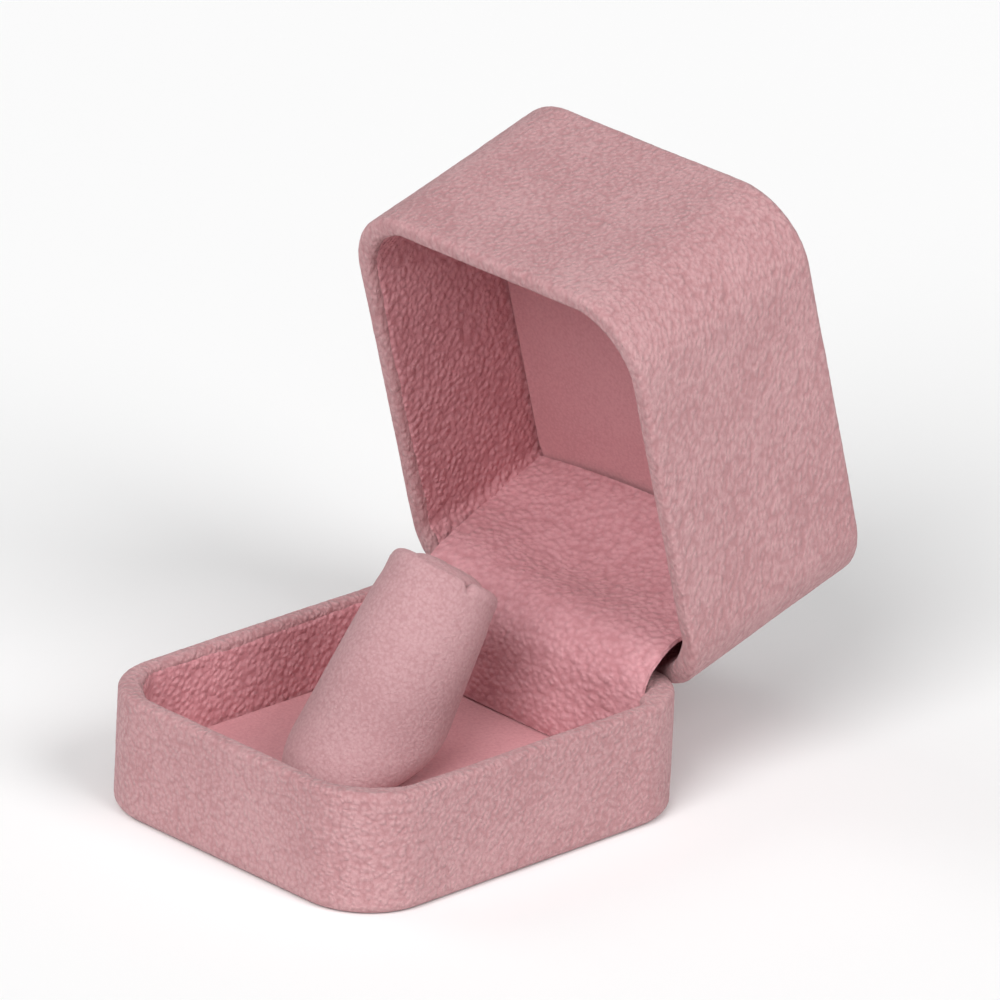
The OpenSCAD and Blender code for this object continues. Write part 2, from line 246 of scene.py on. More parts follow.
def outline(step, w=None, d=None, r=None, start=0.0):
    """closed plan outline from the middle of the rear, clockwise from above: x, y, inward nx, ny"""
    w, d, r = w or W, d or D, r or R
    out = []

    def line(x0, y0, x1, y1, nx, ny):
        n = max(1, int(round(math.hypot(x1 - x0, y1 - y0) / step)))
        for i in range(n):
            t = i / n
            out.append((x0 + (x1 - x0) * t, y0 + (y1 - y0) * t, nx, ny))

    def arc(cx, cy, a0):
        n = max(6, int(round(r * math.pi / 2 / step)))
        for i in range(n):
            a = math.radians(a0) - (math.pi / 2) * i / n
            out.append((cx + r * math.cos(a), cy + r * math.sin(a), -math.cos(a), -math.sin(a)))

    x, y = w / 2, d / 2
    line(0, y, x - r, y, 0, -1)
    arc(x - r, y - r, 90)
    line(x, y - r, x, -y + r, -1, 0)
    arc(x - r, -y + r, 0)
    line(x - r, -y, -x + r, -y, 0, 1)
    arc(-x + r, -y + r, -90)
    line(-x, -y + r, -x, y - r, 1, 0)
    arc(-x + r, y - r, 180)
    line(-x + r, y, 0, y, 0, -1)
    return np.array(out)


def corner_amount(st):
    """1 in the middle of a rounded corner, 0 on the straight sides"""
    return np.clip(2 * np.abs(st[:, 2] * st[:, 3]), 0, 1)


def resample(points, step):
    """points along a polyline about step apart, keeping its corners"""
    out = []
    for a, b in zip(points[:-1], points[1:]):
        a, b = np.array(a, float), np.array(b, float)
        n = max(1, int(round(np.linalg.norm(b - a) / step)))
        for i in range(n):
            out.append(a + (b - a) * i / n)
    out.append(np.array(points[-1], float))
    return np.array(out)


def arc_pts(cx, cz, r, a0, a1, n):
    return [(cx + r * math.cos(math.radians(a)), cz + r * math.sin(math.radians(a))) for a in np.linspace(a0, a1, n)]


def rim_pts(h, r=0.85):
    """section over a rim: a soft band with rounded corners"""
    top = [(WALL / 2, h + 0.03)]
    return arc_pts(r, h - r, r, 180, 90, 7) + top + arc_pts(WALL - r, h - r, r, 90, 0, 7)


def sweep(st, prof):
    """prof (k, 2) or (n, k, 2): (in from the outline, height); gives (n, k, 3)"""
    prof = np.asarray(prof, float)
    if prof.ndim == 2:
        prof = np.repeat(prof[None], len(st), 0)
    u, z = prof[..., 0], prof[..., 1]
    x = st[:, None, 0] + st[:, None, 2] * u
    y = st[:, None, 1] + st[:, None, 3] * u
    return np.stack([x, y, z], -1)


def grid_normals(v, wrap_n, wrap_m):
    """unit normals of an (n, m, 3) grid of points"""
    def diff(a, axis, wrap):
        if wrap:
            return np.roll(a, -1, axis) - np.roll(a, 1, axis)
        return np.gradient(a, axis=axis)
    n = np.cross(diff(v, 0, wrap_n), diff(v, 1, wrap_m))
    ln = np.linalg.norm(n, axis=-1, keepdims=True)
    return n / np.maximum(ln, 1e-9)


def smooth01(t):
    t = np.clip(t, 0, 1)
    return t * t * (3 - 2 * t)


# ------------------------------------------------------------------ materials
def node(nt, kind, **sockets):
    n = nt.nodes.new(kind)
    for k, v in sockets.items():
        n.inputs[k.replace("_", " ")].default_value = v
    return n


def math_node(nt, op, a, b=None):
    n = nt.nodes.new("ShaderNodeMath")
    n.operation = op
    for i, v in enumerate((a, b)):
        if v is None:
            continue
        if isinstance(v, (int, float)):
            n.inputs[i].default_value = v
        else:
            nt.links.new(v, n.inputs[i])
    return n.outputs[0]


def coords(nt):
    """object coordinates in millimetres"""
    tc = nt.nodes.new("ShaderNodeTexCoord")
    mp = nt.nodes.new("ShaderNodeMapping")
    mp.inputs["Scale"].default_value = (1000, 1000, 1000)
    nt.links.new(tc.outputs["Object"], mp.inputs["Vector"])
    return mp.outputs["Vector"]


def warped(nt, vec, size, amount):
    n = nt.nodes.new("ShaderNodeTexNoise")
    n.inputs["Scale"].default_value = 1.0 / size
    n.inputs["Detail"].default_value = 2.0
    nt.links.new(vec, n.inputs["Vector"])
    s = nt.nodes.new("ShaderNodeVectorMath")
    s.operation = "SUBTRACT"
    s.inputs[1].default_value = (0.5, 0.5, 0.5)
    nt.links.new(n.outputs["Color"], s.inputs[0])
    k = nt.nodes.new("ShaderNodeVectorMath")
    k.operation = "SCALE"
    k.inputs["Scale"].default_value = amount
    nt.links.new(s.outputs[0], k.inputs[0])
    a = nt.nodes.new("ShaderNodeVectorMath")
    a.operation = "ADD"
    nt.links.new(vec, a.inputs[0])
    nt.links.new(k.outputs[0], a.inputs[1])
    return a.outputs[0]


def noise(nt, vec, size, detail=2.0, rough=0.5, stretch=None):
    if stretch:
        mp = nt.nodes.new("ShaderNodeMapping")
        mp.inputs["Scale"].default_value = stretch
        nt.links.new(vec, mp.inputs["Vector"])
        vec = mp.outputs["Vector"]
    n = nt.nodes.new("ShaderNodeTexNoise")
    n.inputs["Scale"].default_value = 1.0 / size
    n.inputs["Detail"].default_value = detail
    n.inputs["Roughness"].default_value = rough
    nt.links.new(vec, n.inputs["Vector"])
    return n.outputs["Fac"]


def cells(nt, vec, size, smooth=0.7):
    v = nt.nodes.new("ShaderNodeTexVoronoi")
    v.feature = "SMOOTH_F1"
    v.inputs["Scale"].default_value = 1.0 / size
    v.inputs["Smoothness"].default_value = smooth
    nt.links.new(vec, v.inputs["Vector"])
    return v.outputs["Distance"]


def ramp(nt, fac, stops):
    r = nt.nodes.new("ShaderNodeValToRGB")
    el = r.color_ramp.elements
    while len(el) < len(stops):
        el.new(0.5)
    for e, (pos, col) in zip(el, stops):
        e.position = pos
        e.color = (*col, 1)
    nt.links.new(fac, r.inputs["Fac"])
    return r.outputs["Color"]


def srgb(r, g, b):
    return tuple((c / 255 / 12.92) if c / 255 <= 0.04045 else ((c / 255 + 0.055) / 1.055) ** 2.4 for c in (r, g, b))


def suede(name, tone, grain_mm, grain, fuzz, contrast=0.08, sheen=0.2, nap=0.05, lean=0.0, stretch=(1, 1, 1), curl=0.6):
    """short-napped microfibre. grain_mm is the size of its pebbles; grain and fuzz are the heights in mm of the
    pebbles and of the nap over them; lean and stretch draw the pebbles out along one direction"""
    m = bpy.data.materials.new(name)
    m.use_nodes = True
    nt = m.node_tree
    b = nt.nodes["Principled BSDF"]
    vec = coords(nt)
    sv = vec
    if stretch != (1, 1, 1):
        mp = nt.nodes.new("ShaderNodeMapping")
        mp.inputs["Rotation"].default_value = (lean, 0, 0)
        mp.inputs["Scale"].default_value = stretch
        nt.links.new(vec, mp.inputs["Vector"])
        sv = mp.outputs["Vector"]
    wv = warped(nt, sv, grain_mm * 1.5, grain_mm * curl)
    c1 = cells(nt, wv, grain_mm, 0.55)
    n2 = noise(nt, sv, grain_mm * 0.7, 2.0, 0.5)
    fz = noise(nt, vec, 0.17, 3.0, 0.65)
    md = noise(nt, vec, grain_mm * 3.1, 2.0, 0.5)
    lg = noise(nt, vec, 11.0, 2.0, 0.5)
    # height: pebbles are domes with creases between them, deeper in some places than in others
    peb = math_node(nt, "SUBTRACT", 0.8, math_node(nt, "MULTIPLY", c1, 1.35))
    depth = math_node(nt, "ADD", 0.35, math_node(nt, "MULTIPLY", md, 1.3))
    h = math_node(nt, "MULTIPLY", math_node(nt, "MULTIPLY", peb, depth), grain)
    h = math_node(nt, "ADD", h, math_node(nt, "MULTIPLY", n2, grain * 0.45))
    h = math_node(nt, "ADD", h, math_node(nt, "MULTIPLY", fz, fuzz))
    bump = nt.nodes.new("ShaderNodeBump")
    bump.inputs["Strength"].default_value = 1.0
    bump.inputs["Distance"].default_value = MM
    nt.links.new(h, bump.inputs["Height"])
    nt.links.new(bump.outputs["Normal"], b.inputs["Normal"])
    # colour: painted shade in the pebbles' creases and a painted highlight on their tips, keyed to the bump's own
    # height, with fine fibre speckle and random brushed patches of tone
    f = math_node(nt, "ADD", math_node(nt, "MULTIPLY", peb, 0.45), math_node(nt, "MULTIPLY", fz, 0.45))
    f = math_node(nt, "ADD", f, math_node(nt, "MULTIPLY", math_node(nt, "SUBTRACT", n2, 0.5), 0.5))
    f = math_node(nt, "ADD", f, math_node(nt, "MULTIPLY", math_node(nt, "SUBTRACT", lg, 0.5), nap * 10))
    t = np.array(tone)
    # dark holds the painted crease shade and pale the painted highlight on the tips, each mixed with random tone;
    # contrast sets their strength
    dark = tuple(t * (1 - contrast * np.array([1.0, 1.5, 1.45])))
    pale = tuple(np.minimum(t * (1 + contrast * np.array([0.8, 1.3, 1.2])), 0.95))
    col = ramp(nt, f, [(0.1, dark), (0.4, tuple(t)), (0.8, pale)])
    nt.links.new(col, b.inputs["Base Color"])
    rr = nt.nodes.new("ShaderNodeMapRange")
    rr.inputs["To Min"].default_value = 0.98
    rr.inputs["To Max"].default_value = 0.82
    nt.links.new(fz, rr.inputs["Value"])
    nt.links.new(rr.outputs["Result"], b.inputs["Roughness"])
    b.inputs["Specular IOR Level"].default_value = 0.12
    b.inputs["Sheen Weight"].default_value = sheen
    b.inputs["Sheen Roughness"].default_value = 0.45
    b.inputs["Sheen Tint"].default_value = (1.0, 0.86, 0.87, 1)
    return m


def hard(name, tone, rough, metal=0.0, size=0.4, contrast=0.06, bump_mm=0.01, stretch=None):
    m = bpy.data.materials.new(name)
    m.use_nodes = True
    nt = m.node_tree
    b = nt.nodes["Principled BSDF"]
    vec = coords(nt)
    n1 = noise(nt, vec, size, 4.0, 0.6, stretch)
    n2 = noise(nt, vec, size * 9, 2.0)
    f = math_node(nt, "ADD", math_node(nt, "MULTIPLY", n1, 0.6), math_node(nt, "MULTIPLY", n2, 0.4))
    t = np.array(tone)
    nt.links.new(ramp(nt, f, [(0.3, tuple(t * (1 - contrast))), (0.7, tuple(np.minimum(t * (1 + contrast), 1)))]), b.inputs["Base Color"])
    rr = nt.nodes.new("ShaderNodeMapRange")
    rr.inputs["To Min"].default_value = rough * 0.85
    rr.inputs["To Max"].default_value = min(1.0, rough * 1.15)
    nt.links.new(n1, rr.inputs["Value"])
    nt.links.new(rr.outputs["Result"], b.inputs["Roughness"])
    b.inputs["Metallic"].default_value = metal
    bump = nt.nodes.new("ShaderNodeBump")
    bump.inputs["Distance"].default_value = bump_mm * MM
    nt.links.new(n1, bump.inputs["Height"])
    nt.links.new(bump.outputs["Normal"], b.inputs["Normal"])
    return m


COVER = (0.545, 0.306, 0.319)
LINING = (0.644, 0.320, 0.350)
M_COVER = suede("cover_suede", COVER, 0.70, 0.27, 0.13, contrast=0.17, sheen=0.25, curl=0.7)
M_COVER_LID = suede("cover_suede_lid", COVER, 0.64, 0.25, 0.13, contrast=0.17, sheen=0.25, lean=OPEN, stretch=(1, 1, 0.62), curl=0.7)
M_LINING = suede("lining_suede", (0.660, 0.318, 0.347), 0.88, 0.30, 0.10, contrast=0.16, sheen=0.10, curl=0.3)
M_STRIP = suede("strip_suede", LINING, 0.84, 0.26, 0.10, contrast=0.15, stretch=(0.8, 1, 1), curl=0.3)
M_PAD = suede("pad_suede", (0.645, 0.312, 0.338), 0.45, 0.04, 0.09, contrast=0.08, sheen=0.15, nap=0.04)
M_FINGER = suede("finger_suede", (0.534, 0.314, 0.330), 0.5, 0.07, 0.12, contrast=0.12, nap=0.06)
M_SHELL = hard("shell_plastic", (0.78, 0.75, 0.70), 0.6)
M_CARD = hard("card_board", (0.52, 0.42, 0.31), 0.9, size=0.25, contrast=0.14, bump_mm=0.03)
M_BOTTOM = suede("bottom_panel_cloth", (0.40, 0.21, 0.225), 0.5, 0.04, 0.05)
M_FOAM = hard("packing_foam", (0.84, 0.81, 0.75), 0.95, size=0.3, contrast=0.12, bump_mm=0.12)
M_STEEL = hard("plated_steel", (0.66, 0.66, 0.68), 0.32, metal=0.95, size=0.08, contrast=0.08, bump_mm=0.002, stretch=(0.1, 1, 1))
M_SPRING = hard("spring_steel", (0.34, 0.36, 0.40), 0.28, metal=0.95, size=0.08, contrast=0.1, bump_mm=0.002, stretch=(1, 1, 0.1))

for n, mat in {
    "base_shell": M_SHELL, "lid_shell": M_SHELL, "base_bottom_panel": M_BOTTOM, "insert_board": M_CARD,
    "lid_pad_board": M_CARD, "insert_foam": M_FOAM, "lid_filler": M_FOAM, "lid_pad_foam": M_FOAM, "finger_core": M_FOAM,
    "hinge_base_leaf": M_STEEL, "hinge_lid_leaf": M_STEEL, "hinge_pin": M_STEEL, "hinge_base_rivets": M_STEEL,
    "hinge_lid_rivets": M_STEEL, "hinge_spring": M_SPRING,
}.items():
    me = NODES[n].data
    me.materials.clear()
    me.materials.append(mat)


def finish_piece(o, mat, body, slot, *nodes):
    o.data.materials.append(mat)
    if body:
        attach(o, body)
    if nodes:
        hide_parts(*nodes)
    return o


# ------------------------------------------------------------------ outer cloth of the base
BEVEL = math.pi / 2 + math.radians(11.3) - OPEN      # direction of the bevel on the base's rear rim
STEP = 0.36
FINE = 0.3


def bevel_base(v, off):
    """keeps the rear rim of the base inside the plane that the open lid's rim bears on"""
    y, z = v[..., 1] - PIN_Y, v[..., 2] - PIN_Z
    over = y * math.cos(BEVEL) + z * math.sin(BEVEL) - off
    over = np.where((v[..., 1] > 27) & (v[..., 2] > 12), over, -9)
    push = np.where(over > 0, over, 0) / math.cos(BEVEL)
    v[..., 1] -= push
    return v


def rear_notch(v, half, y_min, z_lo, z_hi):
    """holds the inside of a rear rim back from the hinge"""
    near = smooth01((half + 0.6 - np.abs(v[..., 0])) / 1.2)
    band = (v[..., 2] > z_lo) & (v[..., 2] < z_hi) & (v[..., 1] > 27) & (v[..., 1] < y_min)
    v[..., 1] = np.where(band, v[..., 1] + (y_min - v[..., 1]) * near, v[..., 1])
    return v


def rim_extra(st, corner=0.95, beside=0.85):
    """the cloth sits thicker on the inside of the corners, most of all beside the hinge"""
    ax, y = np.abs(st[:, 0]), st[:, 1]
    rear = smooth01((y - 21.5) / 3.0) * smooth01((ax - 18.0) / 2.5)
    return corner * smooth01(corner_amount(st)) + beside * rear


def cloth_relief(v, normals, weight, size, amp, fuzz=0.0):
    p = v.reshape(-1, 3)
    d = pebble(p, size) * amp
    if fuzz:
        d = d + perlin(p / 0.9 + 5.5) * fuzz
    wob = perlin(p / 13.0 + 3.3) * 0.10 + perlin(p / 5.0 + 9.1) * 0.05
    d = (d + wob).reshape(v.shape[:2]) * weight
    return v + normals * d[..., None]


def make_base_cover():
    st = outline(STEP)
    n = len(st)
    ro = WALL / 2
    outer = [(HEM, 0.02), (BASE_EDGE, 0.0)]
    outer += arc_pts(BASE_EDGE, BASE_EDGE, BASE_EDGE, 270, 180, 8)[1:]
    outer += rim_pts(HB)
    outer += [(WALL, HB - 3.0)]
    outer = resample(outer, STEP)
    inner = [(WALL - CLOTH * 0.8, HB - 3.0)] + arc_pts(ro, HB - ro, ro - CLOTH * 0.8, 0, 180, 7)
    inner += [(CLOTH * 0.8, BASE_EDGE)] + arc_pts(BASE_EDGE, BASE_EDGE, BASE_EDGE - CLOTH * 0.8, 180, 270, 4)[1:]
    inner += [(HEM, CLOTH * 0.8)]
    inner = resample(inner, 2.5)
    k = len(outer)
    prof = np.concatenate([outer, inner])
    extra = rim_extra(st)
    P = np.repeat(prof[None], n, 0)
    # widen the rim inwards at the corners
    side = np.clip((P[..., 0] - 0.6) / (WALL - 0.6), 0, 1) * (P[..., 1] > HB - 4)
    P[..., 0] += side * extra[:, None]
    v = sweep(st, P)
    nm = grid_normals(v, True, True)
    weight = np.zeros(v.shape[:2])
    z = v[..., 2]
    weight[:, :k] = smooth01((z[:, :k] - 0.15) / 1.2)
    v = cloth_relief(v, nm, weight, 1.2, 0.03, 0.025)
    # soft creases that run along the rim round the front right corner and on the front left
    u, top = P[..., 0], smooth01((P[..., 1] - (HB - 1.2)) / 0.8)
    run = np.cumsum(np.r_[0, np.linalg.norm(np.diff(st[:, :2], axis=0), axis=1)])
    at = run[np.argmin(np.hypot(st[:, 0] - 24.3, st[:, 1] + 28.7))]
    at2 = run[np.argmin(np.hypot(st[:, 0] + 12, st[:, 1] + D / 2))]
    for where, half, line, depth in ((at - 1, 6.0, 0.75, 0.16), (at + 3, 5.0, 1.45, 0.12), (at2, 5.0, 1.2, 0.10)):
        win = np.exp(-((run - where) / half) ** 2)[:, None]
        line = line + 0.15 * np.sin(run / 2.3)[:, None]
        v = v - nm * (depth * win * top * np.exp(-((u - line) / 0.17) ** 2))[..., None]
    v = bevel_base(v, 1.5)
    v = rear_notch(v, 17.1, PIN_Y + 0.7, PIN_Z - 2.6, HB + 1)
    o = new_object("base_cover_cloth", v.reshape(-1, 3), grid(n, len(prof), True, True))
    return finish_piece(o, M_COVER, "base", "cover_cloth", "base_cover")


def make_base_lining():
    st = outline(FINE)
    st = st[[i for i in range(len(st)) if not (st[i, 1] > D / 2 - 0.01 and abs(st[i, 0]) < 17.6)]]
    first = next(i for i in range(len(st)) if st[i, 0] > 0)
    st = np.roll(st, -first, 0)
    top, bottom = HB - 0.45, 4.4
    face = resample([(WALL + 0.16, bottom), (WALL + 0.16, top - 1.1), (WALL - 0.3, top)], FINE)
    back = resample([(WALL - CLOTH * 0.9, top), (WALL - CLOTH * 0.9, bottom)], 3.0)
    prof = np.concatenate([face, back])
    P = np.repeat(prof[None], len(st), 0)
    P[:, : len(face), 0] += rim_extra(st)[:, None]
    v = sweep(st, P)
    nm = grid_normals(v, False, True)
    wt = np.zeros(v.shape[:2])
    wt[:, : len(face)] = 1
    v = cloth_relief(v, nm, wt, 1.0, 0.05, 0.03)
    m = len(prof)
    faces = grid(len(st), m, False, True)
    faces.append(tuple(range(m)))
    faces.append(tuple((len(st) - 1) * m + j for j in reversed(range(m))))
    o = new_object("base_lining_cloth", v.reshape(-1, 3), faces)
    return finish_piece(o, M_LINING, "base", "lining_cloth", "base_lining")


def raise_lid_rim(v):
    """the lid's rear rim slopes up a little, clear of the base when it is open"""
    slope = math.tan(math.radians(11.3))
    y0 = PIN_Y - 2.66
    d = v[..., 2] - LID_Z
    lift = np.maximum(v[..., 1] - y0, 0) * slope
    fall = smooth01(1 - (d - 0.3) / 5.0)
    v[..., 2] += lift * fall
    return v


def make_lid_cover():
    st = outline(STEP * 1.12)
    n = len(st)
    ro = WALL / 2
    e = LID_EDGE
    outer = [(R - 0.6, 0.0), (e, 0.0)] + arc_pts(e, e, e, 270, 180, 7)[1:]
    outer += rim_pts(HL)
    outer += [(WALL, HL - 3.0)]
    outer = resample(outer, STEP * 1.12)
    t = CLOTH * 0.8
    inner = [(WALL - t, HL - 3.0)] + arc_pts(ro, HL - ro, ro - t, 0, 180, 7)
    inner += [(t, e)] + arc_pts(e, e, e - t, 180, 270, 4)[1:] + [(R - 0.6, t)]
    inner = resample(inner, 4.0)
    k = len(outer)
    prof = np.concatenate([outer, inner])
    prof[:, 1] = LID_TOP - prof[:, 1]
    P = np.repeat(prof[None], n, 0)
    side = np.clip((P[..., 0] - 0.6) / (WALL - 0.6), 0, 1) * (P[..., 1] < LID_Z + 4)
    P[..., 0] += side * rim_extra(st, 0.45, 0.25)[:, None]
    v = sweep(st, P)
    # middle of the roof: rings that shrink to a point, outside and inside
    rings = 30
    f = 1 - np.arange(1, rings + 1) / rings
    top = v[:, 0, None] * np.stack([f, f, np.ones(rings)], -1)[None]
    f2 = 1 - np.arange(1, 7) / 6.0
    under = v[:, -1, None] * np.stack([f2, f2, np.ones(6)], -1)[None]
    v = np.concatenate([top[:, ::-1], v, under], 1)
    nm = grid_normals(v, True, False)
    nm[:, :rings + 1] = (0, 0, 1)
    nm = np.where(np.isfinite(nm), nm, 0)
    # normals point out of the cloth on the outside
    mid = nm[:, rings + k // 2]
    if (mid[:, 0] * st[:, 2] + mid[:, 1] * st[:, 3]).mean() > 0:
        nm[:, rings + 1:] *= -1
    wt = np.zeros(v.shape[:2])
    wt[:, : rings + k] = 1
    v = cloth_relief(v, nm, wt, 1.2, 0.03, 0.025)
    v = raise_lid_rim(v)
    v = rear_notch(v, 14.3, D / 2 - 1.85, LID_Z - 1, LID_Z + 4)
    m = v.shape[1]
    v[:, 0] = v[:, 0].mean(0)
    v[:, -1] = v[:, -1].mean(0)
    flat = v.reshape(-1, 3)
    faces = grid(n, m, True, False)
    # join the two poles
    remap = np.arange(len(flat))
    remap[0::m] = 0
    remap[m - 1::m] = m - 1
    fixed = []
    for q in faces:
        q = [int(remap[i]) for i in q]
        q = [a for i, a in enumerate(q) if a != q[i - 1]]
        fixed.append(tuple(q))
    used = np.unique(np.concatenate([np.array(q) for q in fixed]))
    back = -np.ones(len(flat), int)
    back[used] = np.arange(len(used))
    fixed = [tuple(int(back[i]) for i in q) for q in fixed]
    o = new_object("lid_cover_cloth", flat[used], fixed, True)
    return finish_piece(o, M_COVER_LID, "lid", "cover_cloth", "lid_cover")


def make_lid_lining():
    st = outline(FINE)
    st = st[[i for i in range(len(st)) if not (st[i, 1] > D / 2 - 0.01 and abs(st[i, 0]) < 15.2)]]
    first = next(i for i in range(len(st)) if st[i, 0] > 0)
    st = np.roll(st, -first, 0)
    lo_z, hi_z = LID_Z + 0.45, LID_PAD + 2.2
    face = resample([(WALL - 0.3, lo_z), (WALL + 0.16, lo_z + 1.1), (WALL + 0.16, hi_z)], FINE)
    back = resample([(WALL - CLOTH * 0.9, hi_z), (WALL - CLOTH * 0.9, lo_z)], 3.0)
    prof = np.concatenate([face, back])
    P = np.repeat(prof[None], len(st), 0)
    P[:, : len(face), 0] += rim_extra(st, 0.45, 0.25)[:, None]
    v = sweep(st, P)
    nm = grid_normals(v, False, True)
    wt = np.zeros(v.shape[:2])
    wt[:, : len(face)] = 1
    v = cloth_relief(v, -nm, wt, 1.0, 0.05, 0.03)
    v = raise_lid_rim(v)
    m = len(prof)
    faces = grid(len(st), m, False, True)
    faces.append(tuple(range(m)))
    faces.append(tuple((len(st) - 1) * m + j for j in reversed(range(m))))
    o = new_object("lid_lining_cloth", v.reshape(-1, 3), faces, True)
    return finish_piece(o, M_LINING, "lid", "lining_cloth", "lid_lining")


# ------------------------------------------------------------------ pads
def pad_outline(inset, back_y, step, r):
    """inside outline of a pad, straight at the back"""
    st = outline(step, W - 2 * inset, D - 2 * inset, r)
    p = st[:, :2].copy()
    p[:, 1] = np.minimum(p[:, 1], back_y)
    keep = [0]
    for i in range(1, len(p)):
        if np.linalg.norm(p[i] - p[keep[-1]]) > step * 0.4:
            keep.append(i)
    return p[keep]


def make_pad(name, face_z, back_z, up, inset, hole=None, crown=0.25, step=0.55, body_open=False):
    """a cloth-covered pad: crowned face at face_z rolled over its edge, closed behind at back_z"""
    out = pad_outline(inset, BAY_Y, step, R - WALL + 1.2)
    n = len(out)
    ring_t = np.concatenate([np.linspace(0, 0.12, 7)[:-1], np.linspace(0.12, 0.97, 46)])
    rows = []
    centre = np.array([0.0, (out[:, 1].max() + out[:, 1].min()) / 2])
    roll = 0.9
    sgn = 1 if up else -1
    size = np.linalg.norm(out - centre, axis=1)
    # side, then the roll over the edge, then the face
    rows.append(np.c_[out, np.full(n, back_z)])
    rows.append(np.c_[out, np.full(n, face_z - sgn * roll)])
    for a in np.linspace(0, 90, 6)[1:]:
        ca, sa = math.cos(math.radians(a)), math.sin(math.radians(a))
        k = (roll * (1 - ca)) / size
        rows.append(np.c_[out + (centre - out) * k[:, None], np.full(n, face_z - sgn * roll * (1 - sa))])
    start = rows[-1][:, :2]
    for t in np.linspace(0, 1, 64)[1:]:
        q = start + (centre - start) * t
        bulge = crown * (1 - (1 - t) ** 2.2)
        rows.append(np.c_[q, np.full(n, face_z + sgn * (bulge - crown * 0.6))])
    v = np.stack(rows, 1)
    nm = np.zeros_like(v)
    nm[..., 2] = sgn
    wt = np.zeros(v.shape[:2])
    wt[:, 5:] = 1
    v = cloth_relief(v, nm, wt, 0.9, 0.012, 0.012)
    m = v.shape[1]
    v[:, -1] = v[:, -1].mean(0)
    flat = v.reshape(-1, 3)
    faces = []
    for i in range(n):
        a, b = i * m, ((i + 1) % n) * m
        for j in range(m - 1):
            if j == m - 2:
                faces.append((a + j, b + j, m - 1))
            else:
                faces.append((a + j, b + j, b + j + 1, a + j + 1))
    faces.append(tuple(i * m for i in reversed(range(n))))
    used = np.unique(np.concatenate([np.array(q) for q in faces]))
    back = -np.ones(len(flat), int)
    back[used] = np.arange(len(used))
    faces = [tuple(int(back[i]) for i in q) for q in faces]
    if not up:
        faces = [tuple(reversed(q)) for q in faces]
    o = new_object(name, flat[used], faces, body_open)
    return o


# ------------------------------------------------------------------ finger
def finger_frame(p):
    """finger's own coordinates (across, back, along) to the box"""
    p = np.asarray(p, float)
    c, s = math.cos(LEAN), math.sin(LEAN)
    y = p[..., 1] * c + p[..., 2] * s
    z = -p[..., 1] * s + p[..., 2] * c
    return np.stack([p[..., 0], F_Y + y, PAD_Z + z], -1)


def finger_lip(th):
    """the sleeve's edge stands up in a soft fold on one side of the top"""
    d = (np.degrees(th) + 110 + 180) % 360 - 180
    return np.exp(-np.abs(d / 34.0) ** 2.6)


